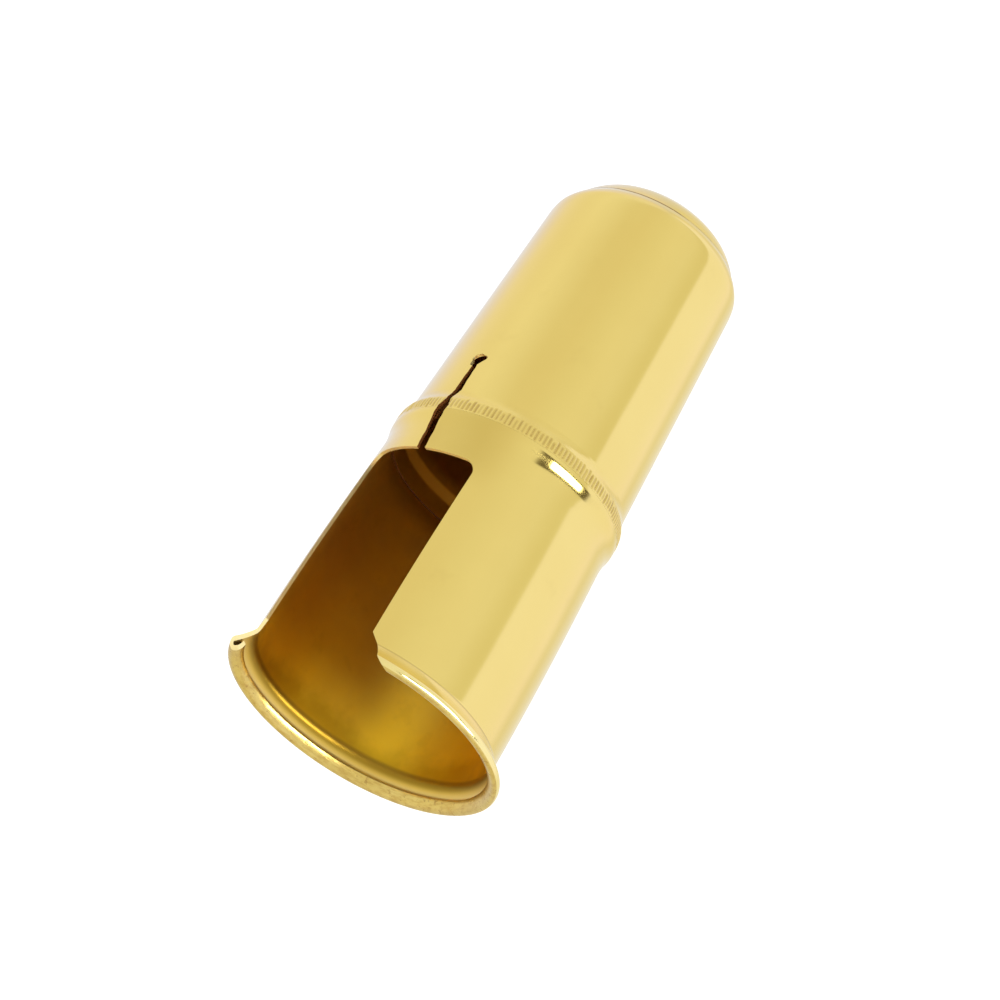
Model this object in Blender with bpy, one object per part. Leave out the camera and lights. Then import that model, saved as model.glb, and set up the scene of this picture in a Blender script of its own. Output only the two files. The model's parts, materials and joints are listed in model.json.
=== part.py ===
"""Brass mouthpiece cap of a saxophone, lying on its side.

Four pieces of thin brass make the cap: a skirt with the open mouth, its curled rim, the
window and the belled end; a tapered crown tube whose foot is pushed into the bell; a
milled ring that hides this joint; and a pressed disc that closes the crown. One saw cut
from the middle of the window runs through skirt, ring and tube, and ends in a punched
hole, so the skirt can spring open over a mouthpiece and its ligature.

Every outline is drawn in the cap's own frame, in millimetres: x runs along the cap from
the mouth to the crown, and r is the distance from its axis. The window faces +Z. The
finished cap is then laid down, rim and crown shoulder on the ground, on its resting pose.
"""
import math

import bmesh
import bpy
from mathutils import Matrix, Vector

MM = 0.001

# Sheet, fits and mesh fineness
SHEET = 0.4
FIT_GAP = 0.25
SEGMENTS = 72
WALL_STEPS = 6
SHOULDER_STEPS = 6
DISC_STEPS = 7
HEM_STEPS = 13
CORNER_STEPS = 5
SWEEP_STEPS = 6
HOLE_STEPS = 14
SHARP_ANGLE = math.radians(32)

# Lengths along the cap, from the mouth
CAP_LENGTH = 74.0
RING_START = 33.8
RING_WIDTH = 1.5
BELL_DEPTH = 1.35
BELL_SLOPE = 1.8
LAP_LENGTH = 0.9
STRAIGHT_PAST_RING = 0.55
FLANGE_DEPTH = 3.4
FLARE_START = 2.85

# Radii, all to the outer face
SKIRT_RADIUS = 15.06
WAIST_RADIUS = 14.10
WALL_CURVE = 1.7
RIM_FLARE = 1.94
RIM_BEAD_RADIUS = 0.95
JOINT_RADIUS = 13.70
CROWN_RADIUS = 12.23
SHOULDER_RADIUS = 3.3
DISC_INSET = 1.28
DISC_EDGE_RADIUS = 5.0
FLANGE_WIDTH = 0.93

# Curled rim: how far the hem rolls on past its innermost point
HEM_ROLL = math.radians(50)

# Milled ring
RIB_COUNT = 108
RIB_DEPTH = 0.14
RING_PROUD = 0.10
RING_DROP = 0.17
RING_TOP_DROP = 0.24
RING_BEVEL = 0.3

# Window: half widths to each side, and the corner by the slit
WINDOW_TO_WAIST = 2.4
WINDOW_HALF_WIDTH = 7.7
WINDOW_MOUTH_HALF_WIDTH = 8.15
WINDOW_CORNER = 1.6
WINDOW_RIM_HALF_WIDTH = 11.3
WINDOW_SWEEP_START = 5.2
WINDOW_SWEEP_CURVE = 2.2

# Saw cut and the punched hole at its end
SLIT_OFFSET = -0.25
SLIT_LEAN = -0.75
SLIT_LEAN_END = 2.0
SLIT_MOUTH_WIDTH = 1.0
SLIT_RING_WIDTH = 0.75
SLIT_END_WIDTH = 0.6
SLIT_PAST_RING = 5.7
HOLE_LENGTH = 1.15
HOLE_WIDTH = 1.6

# Guides for the cuts: where they start above the axis, and how far they run past the metal
CUT_FLOOR = 3.0
CUT_OVERSHOOT = 2.0
HOLE_OVERLAP = 0.1

BRASS = (0.78, 0.60, 0.20, 1.0)
BRASS_MILLED = (0.72, 0.54, 0.18, 1.0)


def clear_scene():
    """Remove whatever the file already holds."""
    for old in list(bpy.data.objects):
        bpy.data.objects.remove(old, do_unlink=True)


def brass(name, colour, roughness):
    """A bare polished metal."""
    material = bpy.data.materials.new(name)
    material.use_nodes = True
    shader = material.node_tree.nodes["Principled BSDF"]
    shader.inputs["Base Color"].default_value = colour
    shader.inputs["Metallic"].default_value = 1.0
    shader.inputs["Roughness"].default_value = roughness
    material.diffuse_color = colour
    return material


def arc(centre, radius, start, end, steps):
    """Points on an arc; an angle of 0 points out along r, and 90 degrees towards the crown."""
    cx, cr = centre
    angles = [start + (end - start) * i / steps for i in range(steps + 1)]
    return [(cx + radius * math.sin(a), cr + radius * math.cos(a)) for a in angles]


def offset(path, distance):
    """The same path moved sideways, away from the axis where it runs towards the mouth."""
    moved = []
    for i, (x, r) in enumerate(path):
        before = path[max(i - 1, 0)]
        after = path[min(i + 1, len(path) - 1)]
        first = Vector((x - before[0], r - before[1]))
        second = Vector((after[0] - x, after[1] - r))
        first = first.normalized() if first.length else second.normalized()
        second = second.normalized() if second.length else first
        tangent = (first + second).normalized()
        stretch = 1.0 / max(tangent.dot(first), 0.5)
        moved.append((x + tangent.y * distance * stretch, r - tangent.x * distance * stretch))
    return moved


def sheet_outline(path):
    """Both faces of a sheet whose middle follows the path, as one run of points."""
    return offset(path, SHEET / 2) + offset(path, -SHEET / 2)[::-1]


def skirt_radius_at(x):
    """Outer radius of the skirt wall, which draws in faster as it nears the waist."""
    along = (x - FLARE_START) / (waist_x() - FLARE_START)
    return SKIRT_RADIUS - (SKIRT_RADIUS - WAIST_RADIUS) * along ** WALL_CURVE


def bell_edge_x():
    return RING_START - FIT_GAP


def waist_x():
    return bell_edge_x() - BELL_DEPTH - BELL_SLOPE


def ring_end_x():
    return RING_START + RING_WIDTH


def window_end_x():
    return waist_x() - WINDOW_TO_WAIST


def slit_end_x():
    return ring_end_x() + SLIT_PAST_RING


def bell_radius():
    return JOINT_RADIUS + FIT_GAP + SHEET


def shoulder_centre():
    """Centre of the crown tube's rounded shoulder."""
    return CAP_LENGTH - FLANGE_DEPTH - SHOULDER_RADIUS, CROWN_RADIUS - SHOULDER_RADIUS


def rim_radius():
    return SKIRT_RADIUS + RIM_FLARE


def bead_centre():
    return RIM_BEAD_RADIUS, rim_radius() - RIM_BEAD_RADIUS


def skirt_path():
    """Middle of the skirt's sheet, from the bell's edge down to the hem of the curled rim."""
    half = SHEET / 2
    bell = bell_radius() - half
    waist = waist_x()
    path = [(bell_edge_x(), bell), (bell_edge_x() - BELL_DEPTH, bell)]
    path += [(waist + BELL_SLOPE / 2, (bell + WAIST_RADIUS - half) / 2)]
    for i in range(WALL_STEPS + 1):
        x = waist + (FLARE_START - waist) * i / WALL_STEPS
        path.append((x, skirt_radius_at(x) - half))
    bead_x, bead_r = bead_centre()
    radius = RIM_BEAD_RADIUS - half
    reach_x = bead_x - FLARE_START
    reach_r = bead_r - (SKIRT_RADIUS - half)
    reach = math.hypot(reach_x, reach_r)
    heading = math.atan2(reach_r, reach_x) - math.asin(radius / reach)
    start = math.pi - heading
    path += arc((bead_x, bead_r), radius, start, -math.pi - HEM_ROLL, HEM_STEPS)
    return path


def crown_path():
    """Middle of the crown tube's sheet, from its flange down to its foot in the bell."""
    half = SHEET / 2
    centre = shoulder_centre()
    radius = SHOULDER_RADIUS - half
    path = [(centre[0] + radius, centre[1] - FLANGE_WIDTH)]
    path += arc(centre, radius, math.pi / 2, 0.0, SHOULDER_STEPS)
    path += [(ring_end_x() + STRAIGHT_PAST_RING, JOINT_RADIUS - half)]
    path += [(bell_edge_x() - LAP_LENGTH, JOINT_RADIUS - half)]
    return path


def disc_path():
    """Middle of the pressed disc's sheet, from the axis out and down to its foot on the shoulder."""
    half = SHEET / 2
    shoulder = shoulder_centre()
    centre = (CAP_LENGTH - DISC_EDGE_RADIUS, CROWN_RADIUS - DISC_INSET - DISC_EDGE_RADIUS)
    radius = DISC_EDGE_RADIUS - half
    seat = SHOULDER_RADIUS + FIT_GAP + half
    apart = math.dist(centre, shoulder)
    bearing = math.atan2(shoulder[0] - centre[0], shoulder[1] - centre[1])
    spread = math.acos((apart ** 2 + radius ** 2 - seat ** 2) / (2 * apart * radius))
    path = [(CAP_LENGTH - half, 0.0)]
    path += arc(centre, radius, math.pi / 2, bearing + spread, DISC_STEPS)
    return path


def spin(name, outline, closed, material):
    """Turn an outline about the cap's axis into a solid."""
    mesh = bpy.data.meshes.new(name)
    work = bmesh.new()
    corners = [work.verts.new((x * MM, 0.0, r * MM)) for x, r in outline]
    pairs = list(zip(corners, corners[1:]))
    if closed:
        pairs.append((corners[-1], corners[0]))
    edges = [work.edges.new(pair) for pair in pairs]
    bmesh.ops.spin(work, geom=corners + edges, cent=(0, 0, 0), axis=(1, 0, 0),
                   angle=2 * math.pi, steps=SEGMENTS, use_merge=True)
    bmesh.ops.remove_doubles(work, verts=work.verts, dist=0.002 * MM)
    bmesh.ops.recalc_face_normals(work, faces=work.faces)
    work.to_mesh(mesh)
    work.free()
    return add_object(name, mesh, material)


def add_object(name, mesh, material):
    """Link a mesh as an object, shaded smooth with crisp edges."""
    piece = bpy.data.objects.new(name, mesh)
    bpy.context.scene.collection.objects.link(piece)
    mesh.materials.append(material)
    mesh.shade_smooth()
    mesh.set_sharp_from_angle(angle=SHARP_ANGLE)
    return piece


def cutter(name, outline):
    """A guide prism that starts just above the axis and passes up through the wall."""
    mesh = bpy.data.meshes.new(name)
    work = bmesh.new()
    height = max(rim_radius(), bell_radius()) + CUT_OVERSHOOT - CUT_FLOOR
    corners = [work.verts.new((x * MM, y * MM, CUT_FLOOR * MM)) for x, y in outline]
    face = work.faces.new(corners)
    raised = bmesh.ops.extrude_face_region(work, geom=[face])
    lifted = [item for item in raised["geom"] if isinstance(item, bmesh.types.BMVert)]
    bmesh.ops.translate(work, verts=lifted, vec=(0, 0, height * MM))
    bmesh.ops.recalc_face_normals(work, faces=work.faces)
    work.to_mesh(mesh)
    work.free()
    guide = bpy.data.objects.new(name, mesh)
    bpy.context.scene.collection.objects.link(guide)
    guide.hide_render = True
    guide.display_type = "WIRE"
    return guide


def cut(piece, guide):
    """Take the guide's shape out of a piece."""
    modifier = piece.modifiers.new("cut_" + guide.name, "BOOLEAN")
    modifier.operation = "DIFFERENCE"
    modifier.object = guide
    modifier.solver = "EXACT"


def window_side():
    """One long edge of the window, from its corner by the slit to past the rim."""
    corner = (window_end_x() - WINDOW_CORNER, WINDOW_HALF_WIDTH - WINDOW_CORNER)
    side = arc(corner, WINDOW_CORNER, math.pi / 2, 0.0, CORNER_STEPS)
    for i in range(SWEEP_STEPS + 1):
        along = i / SWEEP_STEPS
        x = WINDOW_SWEEP_START + (RIM_BEAD_RADIUS - WINDOW_SWEEP_START) * along
        widening = (WINDOW_RIM_HALF_WIDTH - WINDOW_MOUTH_HALF_WIDTH) * along ** WINDOW_SWEEP_CURVE
        side.append((x, WINDOW_MOUTH_HALF_WIDTH + widening))
    side.append((-CUT_OVERSHOOT, WINDOW_RIM_HALF_WIDTH))
    return side


def window_outline():
    side = window_side()
    return side + [(x, -y) for x, y in reversed(side)]


def slit_outline():
    """The saw cut: it leans at the window and narrows towards the punched hole."""
    stations = [(window_end_x() - CUT_OVERSHOOT, SLIT_LEAN, SLIT_MOUTH_WIDTH),
                (window_end_x(), SLIT_LEAN, SLIT_MOUTH_WIDTH),
                (RING_START - SLIT_LEAN_END, 0.0, SLIT_MOUTH_WIDTH),
                (ring_end_x(), 0.0, SLIT_RING_WIDTH),
                (slit_end_x(), 0.0, SLIT_END_WIDTH)]
    near = [(x, SLIT_OFFSET + lean - width / 2) for x, lean, width in stations]
    far = [(x, SLIT_OFFSET + lean + width / 2) for x, lean, width in stations]
    return near + far[::-1]


def hole_outline():
    """The punched hole, a little wider than it is long, that the saw cut runs into."""
    centre_x = slit_end_x() + HOLE_LENGTH / 2 - HOLE_OVERLAP
    turns = [2 * math.pi * i / HOLE_STEPS for i in range(HOLE_STEPS)]
    return [(centre_x + HOLE_LENGTH / 2 * math.cos(t), SLIT_OFFSET + HOLE_WIDTH / 2 * math.sin(t))
            for t in turns]


def make_knurled_ring(material):
    """A narrow ring with ribs along the cap all round its outer face."""
    inner = JOINT_RADIUS + FIT_GAP
    root = bell_radius() + RING_PROUD - RIB_DEPTH
    levels = [(0.0, 0.0, 1.0), (RING_WIDTH - RING_BEVEL, -RING_DROP, 1.0),
              (RING_WIDTH, -RING_TOP_DROP, 0.0)]
    count = RIB_COUNT * 2
    turns = [2 * math.pi * i / count for i in range(count)]
    mesh = bpy.data.meshes.new("knurled_ring")
    work = bmesh.new()

    def loop(x, radii):
        return [work.verts.new((x * MM, -r * math.sin(t) * MM, r * math.cos(t) * MM))
                for t, r in zip(turns, radii)]

    loops = [loop(RING_START, [inner] * count)]
    for rise, drop, ribbed in levels:
        tips = [root + drop + (RIB_DEPTH * ribbed if i % 2 == 0 else 0.0) for i in range(count)]
        loops.append(loop(RING_START + rise, tips))
    loops.append(loop(RING_START + RING_WIDTH, [inner] * count))
    for lower, upper in zip(loops, loops[1:] + loops[:1]):
        for i in range(count):
            j = (i + 1) % count
            work.faces.new((lower[i], lower[j], upper[j], upper[i]))
    bmesh.ops.recalc_face_normals(work, faces=work.faces)
    work.to_mesh(mesh)
    work.free()
    return add_object("knurled_ring", mesh, material)


def resting_pose(outlines):
    """Turn and move that lay the cap on its rim and crown shoulder, centred over the origin."""
    shoulder = (shoulder_centre()[0], CROWN_RADIUS)
    bead_x, bead_r = bead_centre()
    reach = math.hypot(shoulder[0] - bead_x, bead_r - shoulder[1])
    slope = math.atan2(bead_r - shoulder[1], shoulder[0] - bead_x)
    tilt = slope + math.asin(RIM_BEAD_RADIUS / reach)
    turn = Matrix.Rotation(tilt, 4, "Y")
    points = [turn @ Vector((x, 0.0, side * r)) for x, r in outlines for side in (1, -1)]
    lowest = min(point.z for point in points)
    middle = (min(point.x for point in points) + max(point.x for point in points)) / 2
    return Matrix.Translation(Vector((-middle, 0.0, -lowest)) * MM) @ turn


def build():
    clear_scene()
    polished = brass("polished_brass", BRASS, 0.14)
    milled = brass("milled_brass", BRASS_MILLED, 0.3)

    skirt_outline = sheet_outline(skirt_path())
    crown_outline = sheet_outline(crown_path())
    disc_outline = sheet_outline(disc_path())
    skirt = spin("skirt_shell", skirt_outline, True, polished)
    crown = spin("crown_shell", crown_outline, True, polished)
    disc = spin("crown_disc", disc_outline, False, polished)
    ring = make_knurled_ring(milled)

    window_guide = cutter("window_guide", window_outline())
    slit_guide = cutter("slit_guide", slit_outline())
    hole_guide = cutter("hole_guide", hole_outline())
    cut(skirt, window_guide)
    for piece in (skirt, crown, ring):
        cut(piece, slit_guide)
    cut(crown, hole_guide)

    pose = bpy.data.objects.new("resting_pose", None)
    bpy.context.scene.collection.objects.link(pose)
    pose.matrix_world = resting_pose(skirt_outline + crown_outline + disc_outline)
    for piece in (skirt, crown, disc, ring, window_guide, slit_guide, hole_guide):
        piece.parent = pose


build()
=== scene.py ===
"""The looks of a brass saxophone mouthpiece cap: turned sheet, folded rim, milled ring, crown.

Every piece is drawn in the cap's own frame, in millimetres: x runs along the cap from the
open mouth to the crown, r is the distance from its axis, and the window faces +z. The cap's
frame comes from the crown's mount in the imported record, so the pieces lie where the CAD lies.
"""

import json
import math

import bmesh
import bpy
import numpy as np
from mathutils import Matrix, Vector, noise


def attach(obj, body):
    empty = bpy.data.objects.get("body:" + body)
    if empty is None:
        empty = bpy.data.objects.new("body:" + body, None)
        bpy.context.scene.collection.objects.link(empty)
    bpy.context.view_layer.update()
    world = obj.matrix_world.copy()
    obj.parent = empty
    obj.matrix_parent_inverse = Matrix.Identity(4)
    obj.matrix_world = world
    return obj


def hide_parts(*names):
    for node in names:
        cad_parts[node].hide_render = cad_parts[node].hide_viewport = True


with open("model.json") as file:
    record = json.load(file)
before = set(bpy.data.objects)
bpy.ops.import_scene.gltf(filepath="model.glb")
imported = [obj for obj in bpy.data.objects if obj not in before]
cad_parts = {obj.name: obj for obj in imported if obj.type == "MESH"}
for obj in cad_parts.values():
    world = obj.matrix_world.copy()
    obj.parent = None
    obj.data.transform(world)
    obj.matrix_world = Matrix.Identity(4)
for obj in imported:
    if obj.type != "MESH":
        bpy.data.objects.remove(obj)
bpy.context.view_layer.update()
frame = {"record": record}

MM = 0.001

# Sheet and mesh fineness
SHEET = 0.4
FIT_GAP = 0.02
SEGMENTS = 288
SMOOTH_ANGLE = math.radians(32)

# Lengths along the cap, from the mouth
CAP_LENGTH = 74.0
FLARE_START = 2.85
WAIST_X = 30.4
CREST_X = 33.3
BELL_EDGE_X = 33.59
TUBE_FOOT_X = 32.65
RING_START = 33.6
SHOULDER_X = 67.3
DISC_FOOT_X = 70.25
FLANGE_X = 70.34
JOINT_END = 35.85
FOOT_FLARE_X = 36.3
FOOT_FLARE_LENGTH = 1.8

# Radii to the outer face
SKIRT_RADIUS = 15.06
WAIST_RADIUS = 14.10
WALL_CURVE = 1.7
CREST_RADIUS = 14.42
SWELL_DELAY = 2.0
RIM_RADIUS = 16.99
FOLD_RADIUS = 0.58
JOINT_RADIUS = 13.70
CROWN_RADIUS = 12.23
FLANGE_RADIUS = 8.0
FOOT_FLARE = 0.15
CREASE_RADIUS = 10.94
CREASE_BEND = 0.06
DISC_FLAT_RADIUS = 5.0

# Folded rim
FLARE_LEAN = math.radians(50)
FLARE_BEND = 1.2
HEM_OPENING = math.radians(-14)
HEM_TUCK = math.radians(38)
HEM_LENGTH = 1.35
RIM_INSET = 0.04
RIM_DROOP = 0.09
RIM_DROOP_SIDE = math.radians(-95)
CREASE_ROUNDING = 0.3
FOLD_STEPS = 40
FOLD_STEPS_OUTSIDE = 22
HEM_STEPS = 16

# Milled ring
RIB_COUNT = 168
RIB_DEPTH = 0.11
RIB_STEPS = 8
RIB_START = 33.7
RIB_END = 35.25
RIB_START_WANDER = 0.42
RIB_END_WANDER = 0.45
RIB_START_RAMP = 0.20
RIB_END_RAMP = 0.30
RING_SINK = 0.02
RING_SHARP_ANGLE = math.radians(50)

# Window and saw cut, seen from above the window
WINDOW_END = 28.0
WINDOW_HALF_WIDTH = 7.7
WINDOW_LEFT_HALF_WIDTH = 7.85
WINDOW_RIGHT_HALF_WIDTH = 8.15
WINDOW_CORNER = 1.6
WINDOW_RIM_HALF_WIDTH = 11.85
WINDOW_SWEEP_START = 4.0
WINDOW_SWEEP_CURVE = 1.05
CUT_FLOOR = 3.0
CUT_TOP = 20.0
CUT_OVERSHOOT = 2.0
SAW_WAVER = 0.05
SAW_WAVER_PITCH = 1.3

# Ragged hole at the end of the saw cut
HOLE_X = 41.55
HOLE_Y = -0.06
HOLE_LEAN = math.radians(57)
HOLE_HALF_LENGTH = 1.0
HOLE_HALF_WIDTH = 0.82

# Light tent
SOFTBOX = (14.0, 14.0, 14.0, 1.0)
SOFTBOX_FRAME = (0.16, 0.14, 0.11, 1.0)
FLOOR_RADIUS = 3.0
FLOOR_GAP = 0.00005

# The last finish is painted shade: the saw cut's walls and the sheet's end faces are painted dark.
OUTSIDE, INSIDE, EDGE, HEM, SHADE_DARK = range(5)


# ---------------------------------------------------------------- shader maths

class Value:
    """A number socket that takes part in sums, so that shader maths reads as written."""

    def __init__(self, maker, socket):
        self.maker = maker
        self.socket = socket

    def join(self, operation, first, second):
        node = self.maker.node("ShaderNodeMath", {"operation": operation}, {0: first, 1: second})
        return Value(self.maker, node.outputs[0])

    def __add__(self, other):
        return self.join("ADD", self, other)

    __radd__ = __add__

    def __sub__(self, other):
        return self.join("SUBTRACT", self, other)

    def __rsub__(self, other):
        return self.join("SUBTRACT", other, self)

    def __mul__(self, other):
        return self.join("MULTIPLY", self, other)

    __rmul__ = __mul__

    def __truediv__(self, other):
        return self.join("DIVIDE", self, other)

    def __pow__(self, other):
        return self.join("POWER", self, other)


class Maker:
    """Adds nodes to one node tree."""

    def __init__(self, tree):
        self.tree = tree
        tree.nodes.clear()

    def node(self, kind, settings=None, sockets=None):
        """A node of this kind: its settings first, then a value or a link for each socket."""
        node = self.tree.nodes.new(kind)
        for name, setting in (settings or {}).items():
            if name == "stops":
                self.fill_ramp(node.color_ramp, setting)
            else:
                setattr(node, name, setting)
        for key, given in (sockets or {}).items():
            if isinstance(given, Value):
                given = given.socket
            if isinstance(given, bpy.types.NodeSocket):
                self.tree.links.new(given, node.inputs[key])
            else:
                node.inputs[key].default_value = given
        return node

    @staticmethod
    def fill_ramp(ramp, stops):
        while len(ramp.elements) < len(stops):
            ramp.elements.new(1.0)
        for element, (place, colour) in zip(ramp.elements, stops):
            element.position = place
            element.color = (*colour, 1.0)

    def value(self, kind, settings, sockets, output=0):
        return Value(self, self.node(kind, settings, sockets).outputs[output])

    def smooth(self, value, low, high):
        """0 below low, 1 above high, and a soft step between them."""
        settings = {"interpolation_type": "SMOOTHSTEP", "clamp": True}
        sockets = {"Value": value, "From Min": low, "From Max": high}
        return self.value("ShaderNodeMapRange", settings, sockets)

    def mix(self, factor, first, second, blend="MIX"):
        """A colour between two, each a colour or a link."""
        settings = {"data_type": "RGBA", "blend_type": blend, "clamp_factor": True}
        return self.node("ShaderNodeMix", settings, {0: factor, 6: first, 7: second}).outputs[2]

    def noise(self, place, scale, detail=2.0, roughness=0.5):
        sockets = {"Vector": place, "Scale": scale, "Detail": detail, "Roughness": roughness}
        return self.value("ShaderNodeTexNoise", {}, sockets)

    def stretched(self, place, scale):
        """A place scaled differently along each axis."""
        node = self.node("ShaderNodeVectorMath", {"operation": "MULTIPLY"}, {0: place, 1: scale})
        return node.outputs[0]


def cap_place(maker):
    """Place on the cap in metres in its own frame, with its parts."""
    world_place = maker.node("ShaderNodeTexCoord").outputs["Object"]
    mapping = maker.node("ShaderNodeMapping", {"vector_type": "TEXTURE"}, {
        "Vector": world_place, "Location": CAP_FRAME.translation, "Rotation": CAP_FRAME.to_euler()})
    place = mapping.outputs[0]
    parts = maker.node("ShaderNodeSeparateXYZ", {}, {0: place})
    x, y, z = (Value(maker, parts.outputs[i]) for i in range(3))
    return place, x, y, z


def around_cap(maker, x, y, z, turns):
    """A seamless place on a long cylinder: fine lines along x become lines round the cap."""
    radius = (y * y + z * z) ** 0.5
    combined = maker.node("ShaderNodeCombineXYZ", {}, {
        0: x, 1: (y / radius) * turns, 2: (z / radius) * turns})
    return combined.outputs[0]


def new_material(name):
    material = bpy.data.materials.new(name)
    material.use_nodes = True
    maker = Maker(material.node_tree)
    return material, maker


def finish_material(maker, shader):
    maker.node("ShaderNodeOutputMaterial", {}, {"Surface": shader.outputs[0]})


def polished_brass():
    """Lacquered, buffed sheet: a clean mirror with slow waves, buffing lines and faint stains, with
    painted shade in the creases and on a patch by the saw cut, and painted light on the rim's flare.
    """
    material, maker = new_material("polished_brass")
    place, x, y, z = cap_place(maker)
    cloud = maker.noise(place, 90.0, 3.0, 0.55)
    fleck = maker.noise(place, 900.0, 2.0, 0.6)
    lines = maker.noise(around_cap(maker, x, y, z, 0.004), 5200.0, 2.0, 0.7)
    stain = maker.smooth(maker.noise(place, 260.0, 4.0, 0.62), 0.60, 0.80)
    # Painted shade: the creases by the rim and under the disc are darkened.
    rim_and_disc_crease_shade = crease_painted_shade(maker, x, y, z)
    # Painted shade: a darker, olive patch on the top of the skirt by the saw cut.
    facing = maker.smooth(z / (y * y + z * z) ** 0.5, 0.65, 0.97) * maker.smooth(y, -0.3 * MM, -1.0 * MM)
    top_painted_shade = facing * (maker.smooth(x, 24.0 * MM, 29.0 * MM) - maker.smooth(x, 33.5 * MM, 34.5 * MM))
    clean = maker.mix(cloud, (0.790, 0.600, 0.160, 1.0), (0.835, 0.655, 0.190, 1.0))
    stained = maker.mix(stain * 0.08, clean, (0.60, 0.40, 0.09, 1.0))
    top_shaded = maker.mix(top_painted_shade * 0.42, stained, (0.50, 0.33, 0.030, 1.0))
    # Painted light: the outside of the rim's flare is made lighter.
    rim_painted_light = 1.0 - maker.smooth(x, (FLARE_START - 0.5) * MM, FLARE_START * MM)
    rim_lightened = maker.mix(rim_painted_light * 0.7, top_shaded, (0.93, 0.80, 0.34, 1.0))
    colour = maker.mix(rim_and_disc_crease_shade, rim_lightened, (0.34, 0.19, 0.04, 1.0))
    roughness = 0.085 + cloud * 0.05 + stain * 0.06 + fleck * 0.02 + rim_and_disc_crease_shade * 0.25
    waves = maker.noise(place, 120.0, 1.0, 0.4)
    height = waves + lines * 0.010 + fleck * 0.004
    bump = maker.node("ShaderNodeBump", {}, {"Strength": 0.30, "Distance": 0.00012, "Height": height})
    shader = maker.node("ShaderNodeBsdfPrincipled", {}, {
        "Base Color": colour, "Metallic": 1.0, "Roughness": roughness, "Normal": bump.outputs[0],
        "Coat Weight": 0.6 - rim_and_disc_crease_shade * 0.6, "Coat Roughness": 0.06, "Coat IOR": 1.45})
    finish_material(maker, shader)
    return material


def crease_painted_shade(maker, x, y, z):
    """Painted shade in the crease by the rim, and along part of the crease under the disc."""
    near_rim = maker.smooth((x - FLARE_START * MM) ** 2.0, (0.14 * MM) ** 2, 0.0)
    near_disc = maker.smooth((x - DISC_FOOT_X * MM) ** 2.0, (0.14 * MM) ** 2, 0.0)
    towards = (z * 0.857 - y * 0.515) / (y * y + z * z) ** 0.5
    return near_rim * 0.35 + near_disc * maker.smooth(towards, 0.87, 0.95) * 0.9


def dull_brass():
    """The inside: left as drawn, darkened amber, with painted light towards the mouth and the lip, painted
    shade in the crease, past the rim and deep in the crown, and a painted highlight band under the ring.
    """
    material, maker = new_material("dull_brass")
    place, x, y, z = cap_place(maker)
    cloud = maker.noise(place, 130.0, 4.0, 0.6)
    fine = maker.noise(place, 1400.0, 3.0, 0.65)
    drawn = maker.noise(maker.stretched(place, (0.08, 1.0, 1.0)), 2600.0, 2.0, 0.6)
    blot = maker.smooth(maker.noise(place, 300.0, 3.0, 0.6), 0.55, 0.75)
    # Painted light: the inside is lighter towards the mouth, where light comes in.
    mouth = 1.0 - maker.smooth(x, 1.0 * MM, 22.0 * MM)
    # Painted shade: the inside of the crown tube, past the joint, is darkened.
    deep = maker.smooth(x, 36.3 * MM, 38.0 * MM)
    # Partly a stain and partly painted shade: a darker band inside, just past the rim's crease.
    rim_stain_and_shade = 1.0 - maker.smooth(x + (cloud - 0.5) * (9.0 * MM), 3.0 * MM, 7.5 * MM)
    # Partly the flare's polish and partly painted light: the inside of the flare is lighter towards the
    # lip.
    lip = 1.0 - maker.smooth(x, 1.3 * MM, 2.6 * MM)
    # Painted shade: the crease inside the rim is darkened.
    crease = maker.smooth((x - FLARE_START * MM) ** 2.0, (0.8 * MM) ** 2, 0.0)
    # Painted highlight: a brighter band inside, under the ring.
    joint_highlight = joint_painted_highlight(maker, x)
    dark = maker.mix(cloud, (0.67, 0.40, 0.060, 1.0), (0.77, 0.48, 0.070, 1.0))
    mouth_lit = maker.mix(cloud, (0.74, 0.46, 0.015, 1.0), (0.86, 0.59, 0.040, 1.0))
    base = maker.mix(mouth, dark, mouth_lit)
    patina = maker.smooth(maker.noise(place, 75.0, 3.0, 0.6), 0.42, 0.66)
    glowing = maker.mix(patina * 0.40, base, (0.95, 0.57, 0.020, 1.0))
    spotted = maker.mix(blot * 0.18, glowing, (0.42, 0.24, 0.02, 1.0))
    stained = maker.mix(rim_stain_and_shade * 0.6, spotted, (0.40, 0.24, 0.01, 1.0))
    inner_crease_shaded = maker.mix(crease * 0.75, stained, (0.22, 0.13, 0.02, 1.0))
    lip_lightened = maker.mix(lip * 0.9, inner_crease_shaded, (0.88, 0.69, 0.26, 1.0))
    deep_shaded = maker.mix(deep, lip_lightened, (0.50, 0.25, 0.04, 1.0))
    colour = maker.mix(joint_highlight, deep_shaded, (1.0, 0.68, 0.12, 1.0))
    roughness = 0.34 + cloud * 0.12 + fine * 0.06 + joint_highlight * 0.12 - lip * 0.08
    height = drawn * 0.5 + fine * 0.4
    bump = maker.node("ShaderNodeBump", {}, {"Strength": 0.25, "Distance": 0.00003, "Height": height})
    shader = maker.node("ShaderNodeBsdfPrincipled", {}, {
        "Base Color": colour, "Metallic": 1.0, "Roughness": roughness, "Normal": bump.outputs[0]})
    finish_material(maker, shader)
    return material


def joint_painted_highlight(maker, x):
    """A brighter band inside, under the ring: a painted highlight."""
    low = maker.smooth(x, 34.5 * MM, 34.9 * MM)
    high = maker.smooth(x, 35.9 * MM, 36.3 * MM)
    return low - high


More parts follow.
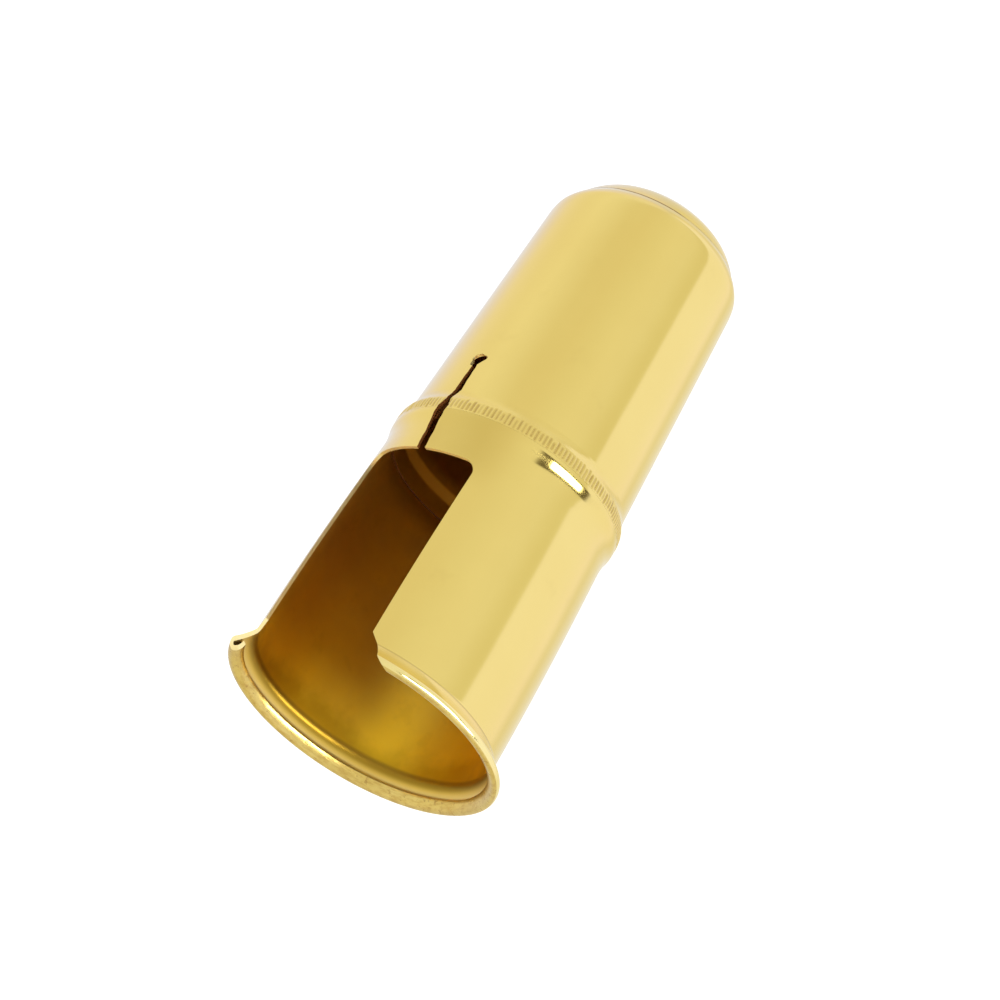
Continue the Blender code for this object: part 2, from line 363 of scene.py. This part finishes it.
def cut_edge_brass():
    """Sawn and filed edges: bright, with fine file marks."""
    material, maker = new_material("cut_edge_brass")
    place, x, y, z = cap_place(maker)
    marks = maker.noise(maker.stretched(place, (1.0, 1.0, 0.15)), 4200.0, 3.0, 0.7)
    cloud = maker.noise(place, 700.0, 3.0, 0.6)
    colour = maker.mix(cloud, (0.90, 0.72, 0.28, 1.0), (0.96, 0.84, 0.45, 1.0))
    roughness = 0.38 + marks * 0.20
    bump = maker.node("ShaderNodeBump", {}, {"Strength": 0.35, "Distance": 0.00003, "Height": marks})
    shader = maker.node("ShaderNodeBsdfPrincipled", {}, {
        "Base Color": colour, "Metallic": 1.0, "Roughness": roughness, "Normal": bump.outputs[0]})
    finish_material(maker, shader)
    return material


def painted_shade_brass():
    """Walls of the saw cut through the ring, and the sheet's end faces: painted shade, a dark brown."""
    material, maker = new_material("painted_shade_brass")
    place, x, y, z = cap_place(maker)
    cloud = maker.noise(place, 900.0, 3.0, 0.6)
    colour = maker.mix(cloud, (0.100, 0.032, 0.006, 1.0), (0.150, 0.052, 0.010, 1.0))
    shader = maker.node("ShaderNodeBsdfPrincipled", {}, {
        "Base Color": colour, "Metallic": 0.2, "Roughness": 0.6 + cloud * 0.2,
        "Specular IOR Level": 0.1})
    finish_material(maker, shader)
    return material


def hem_brass():
    """The rolled hem inside the rim: brushed round by the roller, with brown specks."""
    material, maker = new_material("hem_brass")
    place, x, y, z = cap_place(maker)
    lines = maker.noise(around_cap(maker, x, y, z, 0.003), 3600.0, 3.0, 0.7)
    cloud = maker.noise(place, 420.0, 3.0, 0.6)
    speck = maker.smooth(maker.noise(place, 1500.0, 3.0, 0.7), 0.58, 0.72)
    clean = maker.mix(cloud, (0.62, 0.44, 0.10, 1.0), (0.81, 0.64, 0.21, 1.0))
    lined = maker.mix(maker.smooth(lines, 0.40, 0.70) * 0.6, clean, (0.50, 0.31, 0.07, 1.0))
    colour = maker.mix(speck * 0.7, lined, (0.36, 0.20, 0.06, 1.0))
    roughness = 0.22 + cloud * 0.14 + speck * 0.15
    height = lines - speck * 0.5
    bump = maker.node("ShaderNodeBump", {}, {"Strength": 0.5, "Distance": 0.00004, "Height": height})
    shader = maker.node("ShaderNodeBsdfPrincipled", {}, {
        "Base Color": colour, "Metallic": 1.0, "Roughness": roughness, "Normal": bump.outputs[0]})
    finish_material(maker, shader)
    return material


def milled_brass():
    """The milled ring: buffed tops, and darker down between the ribs."""
    material, maker = new_material("milled_brass")
    place, x, y, z = cap_place(maker)
    shape = maker.node("ShaderNodeAttribute", {"attribute_name": "groove"})
    groove = Value(maker, shape.outputs["Fac"])
    cloud = maker.noise(place, 500.0, 3.0, 0.6)
    fine = maker.noise(place, 2600.0, 2.0, 0.6)
    clean = maker.mix(cloud, (0.78, 0.59, 0.16, 1.0), (0.83, 0.65, 0.19, 1.0))
    # Darker down in the grooves between the ribs.
    colour = maker.mix(groove * (0.25 + cloud * 1.2), clean, (0.42, 0.27, 0.06, 1.0))
    roughness = 0.12 + groove * 0.2 + fine * 0.06
    bump = maker.node("ShaderNodeBump", {}, {
        "Strength": 0.3, "Distance": 0.00003, "Height": fine})
    shader = maker.node("ShaderNodeBsdfPrincipled", {}, {
        "Base Color": colour, "Metallic": 1.0, "Roughness": roughness, "Normal": bump.outputs[0],
        "Coat Weight": 0.4, "Coat Roughness": 0.08, "Coat IOR": 1.45})
    finish_material(maker, shader)
    return material


# ---------------------------------------------------------------- outlines

def arc(centre, radius, start, end, steps):
    """Points on an arc; an angle of 0 points out along r, and 90 degrees towards the crown."""
    cx, cr = centre
    angles = [start + (end - start) * i / steps for i in range(steps + 1)]
    return [(cx + radius * math.sin(a), cr + radius * math.cos(a)) for a in angles]


def straight(start, end, steps):
    """Points from start to end, without the last."""
    return [(start[0] + (end[0] - start[0]) * i / steps, start[1] + (end[1] - start[1]) * i / steps)
            for i in range(steps)]


def ease(t):
    return t * t * (3 - 2 * t)


def bezier(start, bend, end, steps):
    """A curve from start to end, pulled towards the bend."""
    points = []
    for i in range(steps + 1):
        t = i / steps
        points.append(tuple(a * (1 - t) ** 2 + b * 2 * t * (1 - t) + c * t * t
                            for a, b, c in zip(start, bend, end)))
    return points


def rounded_corner(before, corner, after, reach, steps):
    """A soft bend at a corner, drawn from a point short of it to a point past it."""
    corner = Vector(corner)
    start = corner + (Vector(before) - corner).normalized() * reach
    end = corner + (Vector(after) - corner).normalized() * reach
    return bezier(start, corner, end, steps)


def offset(path, distance):
    """The same path moved sideways, away from the axis where it runs towards the mouth."""
    moved = []
    for i, (x, r) in enumerate(path):
        before = Vector(path[max(i - 1, 0)])
        after = Vector(path[min(i + 1, len(path) - 1)])
        here = Vector((x, r))
        first = (here - before).normalized() if i else (after - here).normalized()
        second = (after - here).normalized() if i < len(path) - 1 else first
        tangent = (first + second).normalized()
        stretch = distance / max(tangent.dot(first), 0.5)
        moved.append((x + tangent.y * stretch, r - tangent.x * stretch))
    return moved


def skirt_radius_at(x):
    """Outer radius of the skirt: a wall that draws in to the waist, then swells to the bell."""
    if x > WAIST_X:
        t = min((x - WAIST_X) / (CREST_X - WAIST_X), 1.0)
        return WAIST_RADIUS + (CREST_RADIUS - WAIST_RADIUS) * ease(t ** SWELL_DELAY)
    along = (x - FLARE_START) / (WAIST_X - FLARE_START)
    return SKIRT_RADIUS - (SKIRT_RADIUS - WAIST_RADIUS) * along ** WALL_CURVE


def skirt_path():
    """Middle of the skirt's sheet from the bell to the hem, and where the hem begins."""
    half = SHEET / 2
    bell_steps = 28
    wall_steps = 60
    path = []
    for i in range(bell_steps):
        x = BELL_EDGE_X + (WAIST_X - BELL_EDGE_X) * i / bell_steps
        path.append((x, skirt_radius_at(x) - half))
    for i in range(wall_steps):
        x = WAIST_X + (FLARE_START + 2 * CREASE_ROUNDING - WAIST_X) * i / wall_steps
        path.append((x, skirt_radius_at(x) - half))
    centre = (FOLD_RADIUS + RIM_INSET, RIM_RADIUS - FOLD_RADIUS)
    radius = FOLD_RADIUS - half
    crease = (FLARE_START, SKIRT_RADIUS - half)
    turned_back = FLARE_LEAN - math.pi - HEM_OPENING
    fold = arc(centre, radius, FLARE_LEAN, turned_back, FOLD_STEPS)
    bend = (fold[0][0] + FLARE_BEND * math.cos(FLARE_LEAN), fold[0][1] - FLARE_BEND * math.sin(FLARE_LEAN))
    path += rounded_corner((WAIST_X, crease[1]), crease, bend, CREASE_ROUNDING, 8)
    path += bezier(path[-1], bend, fold[0], 16)[1:-1]
    hem_begins = len(path) + FOLD_STEPS_OUTSIDE
    path += fold
    hem_radius = HEM_LENGTH / (HEM_TUCK - HEM_OPENING)
    hem_centre = (fold[-1][0] - hem_radius * math.sin(turned_back),
                  fold[-1][1] - hem_radius * math.cos(turned_back))
    tucked = turned_back - HEM_TUCK + HEM_OPENING
    path += arc(hem_centre, hem_radius, turned_back, tucked, HEM_STEPS)[1:]
    return path, hem_begins


def curve_through(points, steps):
    """A smooth line through the points, without the first and last, which only set its slope."""
    line = []
    for before, start, end, after in zip(points, points[1:], points[2:], points[3:]):
        for i in range(steps):
            t = i / steps
            line.append(tuple(0.5 * (2 * b + (c - a) * t + (2 * a - 5 * b + 4 * c - d) * t * t
                                     + (3 * b - a - 3 * c + d) * t ** 3)
                              for a, b, c, d in zip(before, start, end, after)))
    return line + [points[-2]]


def crown_radius_at(x):
    """Outer radius of the crown tube, whose foot opens a little inside the bell."""
    if x < FOOT_FLARE_X:
        return JOINT_RADIUS + FOOT_FLARE * ease(min((FOOT_FLARE_X - x) / FOOT_FLARE_LENGTH, 1.0))
    along = (x - JOINT_END) / (SHOULDER_X - JOINT_END)
    return JOINT_RADIUS - (JOINT_RADIUS - CROWN_RADIUS) * along


# Outer face of the shoulder, up to the crease where the disc sits
SHOULDER = ((66.0, 12.28), (67.3, 12.23), (68.5, 12.06), (69.35, 11.64), (69.9, 11.22), (70.4, 10.8))

# Outer face of the pressed disc, from the middle down to the crease
DISC = ((74.0, 3.0), (74.0, 5.0), (73.97, 5.9), (73.76, 6.85), (73.2, 8.05), (72.2, 9.42), (71.2, 10.31),
        (DISC_FOOT_X, 10.95), (69.4, 11.5))


def crown_path():
    """Outer face of the crown tube, from its flange down to its foot in the bell."""
    shoulder = curve_through(SHOULDER, 8)
    corner = (DISC_FOOT_X, CREASE_RADIUS)
    flange = (FLANGE_X, FLANGE_RADIUS)
    bend = rounded_corner(flange, corner, shoulder[-1], CREASE_BEND, 6)
    path = straight(flange, bend[0], 6) + bend + shoulder[-2:0:-1]
    steps = 64
    for i in range(steps + 1):
        x = SHOULDER_X + (TUBE_FOOT_X - SHOULDER_X) * i / steps
        path.append((x, crown_radius_at(x)))
    return path


def disc_path():
    """Outer face of the pressed disc's sheet, from the axis out and down to the crease."""
    return straight((CAP_LENGTH, 0.0), (CAP_LENGTH, DISC_FLAT_RADIUS), 8) + curve_through(DISC, 8)


# ---------------------------------------------------------------- meshes

def finishes():
    return [POLISHED, DULL, CUT_EDGE, HEMMED, PAINTED_SHADE_FINISH]


def turned(name, outline, marks, closed=True, droop=False):
    """Turn an outline about the axis; marks give the finish of each strip of faces."""
    points = np.array(outline)
    count = len(points)
    turns = np.arange(SEGMENTS) * 2 * math.pi / SEGMENTS
    ring = np.stack([np.zeros(SEGMENTS), -np.sin(turns), np.cos(turns)], axis=1)
    places = points[:, None, 1:2] * ring[None, :, :]
    places[:, :, 0] = points[:, None, 0]
    strips = count if closed else count - 1
    faces = []
    slots = []
    for i in range(strips):
        j = (i + 1) % count
        for k in range(SEGMENTS):
            m = (k + 1) % SEGMENTS
            faces.append((i * SEGMENTS + k, i * SEGMENTS + m, j * SEGMENTS + m, j * SEGMENTS + k))
        slots += [marks[i]] * SEGMENTS
    if droop:
        places = drooped(places)
    mesh = bpy.data.meshes.new(name)
    mesh.from_pydata((places.reshape(-1, 3) * MM).tolist(), [], faces)
    mesh.polygons.foreach_set("material_index", slots)
    clean_mesh(mesh)
    return add_piece(name, mesh)


def drooped(places):
    """The rim as rolled by hand: a little shallower on the side away from the light."""
    x = places[:, :, 0]
    radius = np.hypot(places[:, :, 1], places[:, :, 2])
    turn = np.arctan2(-places[:, :, 1], places[:, :, 2])
    far = 0.5 + 0.5 * np.cos(turn - RIM_DROOP_SIDE)
    reach = np.clip((FLARE_START - x) / FLARE_START, 0.0, 1.0) ** 0.5
    shrink = RIM_DROOP * far * reach
    drawn_in = radius - np.maximum(radius - SKIRT_RADIUS, 0.0) * shrink
    moved = places.copy()
    moved[:, :, 0] = np.where(x < FLARE_START, x + (FLARE_START - x) * shrink, x)
    moved[:, :, 1:] = places[:, :, 1:] * (drawn_in / np.maximum(radius, 0.001))[:, :, None]
    return moved


def clean_mesh(mesh):
    """Close the poles, and point every face outwards."""
    work = bmesh.new()
    work.from_mesh(mesh)
    bmesh.ops.remove_doubles(work, verts=work.verts, dist=0.0005 * MM)
    bmesh.ops.recalc_face_normals(work, faces=work.faces)
    work.to_mesh(mesh)
    work.free()


def add_piece(name, mesh):
    piece = bpy.data.objects.new(name, mesh)
    bpy.context.scene.collection.objects.link(piece)
    for finish in finishes():
        mesh.materials.append(finish)
    mesh.transform(CAP_FRAME)
    return piece


def shade(piece):
    piece.data.shade_smooth()
    piece.data.set_sharp_from_angle(angle=SMOOTH_ANGLE)


def prism(name, outline, finish):
    """A cutter that stands above the axis and passes up through the wall."""
    mesh = bpy.data.meshes.new(name)
    work = bmesh.new()
    corners = [work.verts.new((x * MM, y * MM, CUT_FLOOR * MM)) for x, y in outline]
    face = work.faces.new(corners)
    raised = bmesh.ops.extrude_face_region(work, geom=[face])
    lifted = [item for item in raised["geom"] if isinstance(item, bmesh.types.BMVert)]
    bmesh.ops.translate(work, verts=lifted, vec=(0, 0, (CUT_TOP - CUT_FLOOR) * MM))
    bmesh.ops.recalc_face_normals(work, faces=work.faces)
    for side in work.faces:
        side.material_index = finish
    work.to_mesh(mesh)
    work.free()
    return add_piece(name, mesh)


def cut(piece, cutters):
    """Take the cutters' shapes out of a piece, for good."""
    for cutter in cutters:
        modifier = piece.modifiers.new("cut", "BOOLEAN")
        modifier.operation = "DIFFERENCE"
        modifier.object = cutter
        modifier.solver = "EXACT"
        modifier.material_mode = "INDEX"
    shaped = piece.evaluated_get(bpy.context.evaluated_depsgraph_get())
    mesh = bpy.data.meshes.new_from_object(shaped)
    piece.modifiers.clear()
    piece.data = mesh


def window_side(mouth_half_width):
    """One long edge of the window, from its top out past the rim."""
    corner = (WINDOW_END - WINDOW_CORNER, WINDOW_HALF_WIDTH - WINDOW_CORNER)
    side = arc(corner, WINDOW_CORNER, math.pi / 2, 0.0, 18)
    steps = 24
    for i in range(steps + 1):
        along = i / steps
        widening = (WINDOW_RIM_HALF_WIDTH - mouth_half_width) * along ** WINDOW_SWEEP_CURVE
        side.append((WINDOW_SWEEP_START * (1 - along), mouth_half_width + widening))
    side.append((-CUT_OVERSHOOT, WINDOW_RIM_HALF_WIDTH))
    return side


def window_outline():
    left = window_side(WINDOW_LEFT_HALF_WIDTH)
    right = window_side(WINDOW_RIGHT_HALF_WIDTH)
    return left + [(x, -y) for x, y in reversed(right)]


# Middle and width of the hand-sawn cut at stations along the cap
SAW_CUT = ((26.5, -0.70, 1.20), (28.0, -0.55, 1.17), (29.9, -0.28, 1.20), (31.9, -0.04, 1.24),
           (33.0, -0.14, 1.36), (33.9, -0.22, 1.40), (34.5, -0.22, 1.04), (35.0, -0.28, 0.70),
           (35.7, -0.12, 0.74), (36.8, -0.14, 0.94), (38.7, -0.08, 0.80), (40.1, -0.10, 0.70),
           (41.3, -0.02, 0.62))


def slit_outline():
    """The saw cut, with the small waver of a hand saw along both edges."""
    near = []
    far = []
    steps = 6
    for (x0, y0, w0), (x1, y1, w1) in zip(SAW_CUT, SAW_CUT[1:]):
        for i in range(steps):
            t = i / steps
            x = x0 + (x1 - x0) * t
            middle = y0 + (y1 - y0) * ease(t)
            width = w0 + (w1 - w0) * ease(t)
            near_waver = noise.noise(Vector((x * SAW_WAVER_PITCH, 0.0, 2.0))) * SAW_WAVER
            far_waver = noise.noise(Vector((x * SAW_WAVER_PITCH, 9.0, 2.0))) * SAW_WAVER
            near.append((x, middle - width / 2 + near_waver))
            far.append((x, middle + width / 2 + far_waver))
    return near + far[::-1]


def hole_outline():
    """The ragged oblong hole that the saw cut runs into."""
    steps = 40
    outline = []
    for i in range(steps):
        turn = 2 * math.pi * i / steps
        ragged = 1.0 + 0.12 * math.sin(3 * turn + 0.6) + 0.06 * math.sin(5 * turn)
        along = HOLE_HALF_LENGTH * ragged * math.cos(turn)
        across = HOLE_HALF_WIDTH * ragged * math.sin(turn)
        x = HOLE_X + along * math.cos(HOLE_LEAN) - across * math.sin(HOLE_LEAN)
        y = HOLE_Y - along * math.sin(HOLE_LEAN) - across * math.cos(HOLE_LEAN)
        outline.append((x, y))
    return outline


def make_skirt(cutters):
    path, hem_begins = skirt_path()
    outer = offset(path, SHEET / 2)
    inner = offset(path, -SHEET / 2)
    last = len(path) - 1
    outer_marks = [OUTSIDE if i < hem_begins else HEM for i in range(last)] + [HEM]
    inner_marks = [INSIDE] * last + [SHADE_DARK]
    skirt = turned("skirt", outer + inner[::-1], outer_marks + inner_marks, droop=True)
    cut(skirt, cutters)
    shade(skirt)
    return skirt


def make_crown(cutters):
    outer = crown_path()
    inner = offset(outer, -SHEET)
    marks = [OUTSIDE] * (len(outer) - 1) + [SHADE_DARK] + [INSIDE] * (len(outer) - 1) + [SHADE_DARK]
    crown = turned("crown_tube", outer + inner[::-1], marks)
    cut(crown, cutters)
    shade(crown)
    return crown


def make_disc():
    outer = disc_path()
    inner = [(x, r) for x, r in offset(outer, -SHEET) if x > FLANGE_X + FIT_GAP]
    marks = [OUTSIDE] * (len(outer) - 1) + [EDGE] + [INSIDE] * (len(inner) - 1)
    disc = turned("crown_end", outer + inner[::-1], marks, closed=False)
    shade(disc)
    return disc


def ring_profile():
    """Outer face of the milled ring, from the bell's edge to its feather edge on the tube."""
    stations = ((RING_START, 14.42), (33.95, 14.43), (34.4, 14.42), (34.9, 14.36), (35.25, 14.24),
                (35.6, 14.07), (35.95, 13.91), (36.3, 13.80), (36.7, 13.72))
    profile = []
    for (x0, r0), (x1, r1) in zip(stations, stations[1:]):
        profile += straight((x0, r0), (x1, r1), 3)
    return profile + [stations[-1]]


def make_ring(cutters, material):
    """The milled ring, with its ribs cut down between a start and an end that vary a little."""
    profile = ring_profile()
    columns = RIB_COUNT * RIB_STEPS
    inner_radius = JOINT_RADIUS - RING_SINK
    inner = [(profile[-1][0], inner_radius), (RING_START, inner_radius)]
    mesh = bpy.data.meshes.new("milled_ring")
    work = bmesh.new()
    depth_layer = work.verts.layers.float.new("groove")
    loops = []
    for x, r in profile + inner:
        loop = []
        for k in range(columns):
            rib, step = divmod(k, RIB_STEPS)
            turn = 2 * math.pi * k / columns
            early = noise.noise(Vector((rib * 0.9, 1.0, 0.0))) * RIB_START_WANDER
            late = noise.noise(Vector((rib * 0.9, 7.0, 0.0))) * RIB_END_WANDER
            press = 0.72 + 0.8 * noise.noise(Vector((rib * 0.61, 3.0, 0.0)))
            groove = math.sin(math.pi * step / RIB_STEPS) ** 2
            start = ease(min(max((x - RIB_START - early) / RIB_START_RAMP, 0.0), 1.0))
            end = ease(min(max((RIB_END + late - x) / RIB_END_RAMP, 0.0), 1.0))
            depth = groove * start * end * press if r > JOINT_RADIUS else 0.0
            out = r - RIB_DEPTH * depth
            vert = work.verts.new((x * MM, -out * math.sin(turn) * MM, out * math.cos(turn) * MM))
            vert[depth_layer] = depth
            loop.append(vert)
        loops.append(loop)
    for lower, upper in zip(loops, loops[1:] + loops[:1]):
        for k in range(columns):
            m = (k + 1) % columns
            work.faces.new((lower[k], lower[m], upper[m], upper[k]))
    bmesh.ops.recalc_face_normals(work, faces=work.faces)
    work.to_mesh(mesh)
    work.free()
    ring = add_piece("milled_ring", mesh)
    mesh.materials[OUTSIDE] = material
    cut(ring, cutters)
    ring.data.shade_smooth()
    ring.data.set_sharp_from_angle(angle=RING_SHARP_ANGLE)
    return ring


# ---------------------------------------------------------------- stage

def make_camera():
    place = Vector((-0.18400, -0.29811, 0.29675))
    aim = Vector((-0.00336, 0.00120, 0.01313))
    roll = math.radians(41.15)
    data = bpy.data.cameras.new("camera")
    data.lens = 142.9
    data.sensor_width = 36.0
    data.clip_start = 0.01
    camera = bpy.data.objects.new("camera", data)
    bpy.context.scene.collection.objects.link(camera)
    look = (aim - place).to_track_quat("-Z", "Y").to_matrix().to_4x4()
    camera.matrix_world = Matrix.Translation(place) @ look @ Matrix.Rotation(-roll, 4, "Z")
    bpy.context.scene.camera = camera


def make_floor():
    mesh = bpy.data.meshes.new("floor")
    work = bmesh.new()
    bmesh.ops.create_circle(work, cap_ends=True, segments=96, radius=FLOOR_RADIUS)
    work.to_mesh(mesh)
    work.free()
    floor = bpy.data.objects.new("floor", mesh)
    bpy.context.scene.collection.objects.link(floor)
    floor.location.z = -FLOOR_GAP
    material, maker = new_material("pale_floor")
    shader = maker.node("ShaderNodeBsdfPrincipled", {}, {
        "Base Color": (0.35, 0.35, 0.35, 1.0), "Roughness": 0.9,
        "Emission Color": (1.0, 1.0, 1.0, 1.0), "Emission Strength": 0.9})
    finish_material(maker, shader)
    mesh.materials.append(material)
    floor.visible_glossy = False


# Brightness of the light tent round the cap's axis: degrees from the window, and its tint
TENT = ((-180, (0.94, 0.90, 0.72)), (-150, (0.92, 0.88, 0.75)), (-120, (0.86, 0.86, 0.93)),
        (-92, (0.93, 0.89, 1.01)), (-72, (1.00, 0.96, 0.91)), (-50, (0.99, 0.97, 0.92)),
        (-30, (1.02, 1.02, 1.04)), (-12, (0.97, 0.97, 0.99)), (8, (0.907, 0.887, 0.84)),
        (28, (0.911, 0.887, 0.835)), (48, (0.936, 0.931, 0.91)), (68, (0.97, 0.97, 0.98)),
        (88, (0.955, 0.96, 0.98)), (106, (0.888, 0.878, 0.81)), (113.6, (0.883, 0.873, 0.80)),
        (114.4, (1.11, 1.135, 1.42)), (150, (1.10, 1.11, 1.26)), (168, (1.10, 1.07, 1.14)),
        (180, (0.94, 0.90, 0.72)))


def make_world():
    """A white light tent: soft round the cap, with one softbox in its dark frame low in front."""
    world = bpy.data.worlds.new("light_tent")
    bpy.context.scene.world = world
    world.use_nodes = True
    maker = Maker(world.node_tree)
    way = maker.node("ShaderNodeTexCoord").outputs["Generated"]

    def along(direction):
        node = maker.node("ShaderNodeVectorMath", {"operation": "DOT_PRODUCT"},
                          {0: way, 1: direction})
        return Value(maker, node.outputs["Value"])

    axis, side, up = (CAP_FRAME.col[i].to_3d() for i in range(3))
    lift = along(axis)
    turn = maker.value("ShaderNodeMath", {"operation": "ARCTAN2"}, {0: along(side) * -1.0, 1: along(up)})
    share = turn / (2 * math.pi) + 0.5
    stops = [(angle / 360 + 0.5, tint) for angle, tint in TENT]
    tent = maker.node("ShaderNodeValToRGB", {"stops": stops}, {"Fac": share}).outputs["Color"]
    box = rectangle(maker, turn, lift, (73, 106), (-0.30, 0.11), 1.5, 0.01)
    strip = rectangle(maker, turn, lift, (57, 126), (-0.36, -0.08), 1.5, 0.01)
    before = maker.value("ShaderNodeMath", {"operation": "MINIMUM"}, {0: turn - math.radians(88), 1: 0.0})
    leaned = lift + before * 0.22
    edge = rectangle(maker, turn, leaned, (60, 117), (-0.10, 0.22), 3.0, 0.025)
    frame_low = rectangle(maker, turn, lift, (52, 132), (-0.46, -0.02), 2.0, 0.02)
    framed = maker.mix(edge, tent, SOFTBOX_FRAME)
    framed_low = maker.mix(frame_low, framed, SOFTBOX_FRAME)
    stripped = maker.mix(strip, framed_low, SOFTBOX)
    lit = maker.mix(box, stripped, SOFTBOX)
    sight = maker.node("ShaderNodeLightPath").outputs["Is Camera Ray"]
    shown = maker.mix(sight, lit, (1.0, 1.0, 1.0, 1.0))
    background = maker.node("ShaderNodeBackground", {}, {"Color": shown, "Strength": 1.0})
    maker.node("ShaderNodeOutputWorld", {}, {"Surface": background.outputs[0]})


def rectangle(maker, turn, lift, turns, lifts, turn_blur, lift_blur):
    """1 inside a patch of the tent, given in degrees round the axis and in lift along it."""
    low, high = (math.radians(t) for t in turns)
    blur = math.radians(turn_blur)
    across = maker.smooth(turn, low - blur, low + blur) - maker.smooth(turn, high - blur, high + blur)
    bottom = maker.smooth(lift, lifts[0] - lift_blur, lifts[0] + lift_blur)
    top = maker.smooth(lift, lifts[1] - lift_blur, lifts[1] + lift_blur)
    return across * (bottom - top)


def cap_frame():
    """The cap's own frame in the world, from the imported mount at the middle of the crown."""
    mount = frame["record"]["mounts"][0]
    axis = Vector(mount["axis"]).normalized()
    mouth = Vector(mount["pos_m"]) - axis * CAP_LENGTH * MM
    side = Vector((0, 0, 1)).cross(axis).normalized()
    up = axis.cross(side)
    turn = Matrix((axis, side, up)).transposed().to_4x4()
    return Matrix.Translation(mouth) @ turn


CAP_FRAME = cap_frame()
POLISHED = polished_brass()
DULL = dull_brass()
CUT_EDGE = cut_edge_brass()
HEMMED = hem_brass()
PAINTED_SHADE_FINISH = painted_shade_brass()

bpy.context.scene.view_settings.view_transform = "Standard"
make_camera()
make_floor()
make_world()

window = prism("window_cutter", window_outline(), EDGE)
slit = prism("slit_cutter", slit_outline(), SHADE_DARK)
hole = prism("hole_cutter", hole_outline(), EDGE)

skirt = make_skirt([window, slit])
crown = make_crown([slit, hole])
disc = make_disc()
ring = make_ring([slit], milled_brass())
for cutter in (window, slit, hole):
    bpy.data.objects.remove(cutter, do_unlink=True)

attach(skirt, "root")
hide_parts("skirt_shell")
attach(crown, "root")
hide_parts("crown_shell")
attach(disc, "root")
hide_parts("crown_disc")
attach(ring, "root")
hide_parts("knurled_ring")
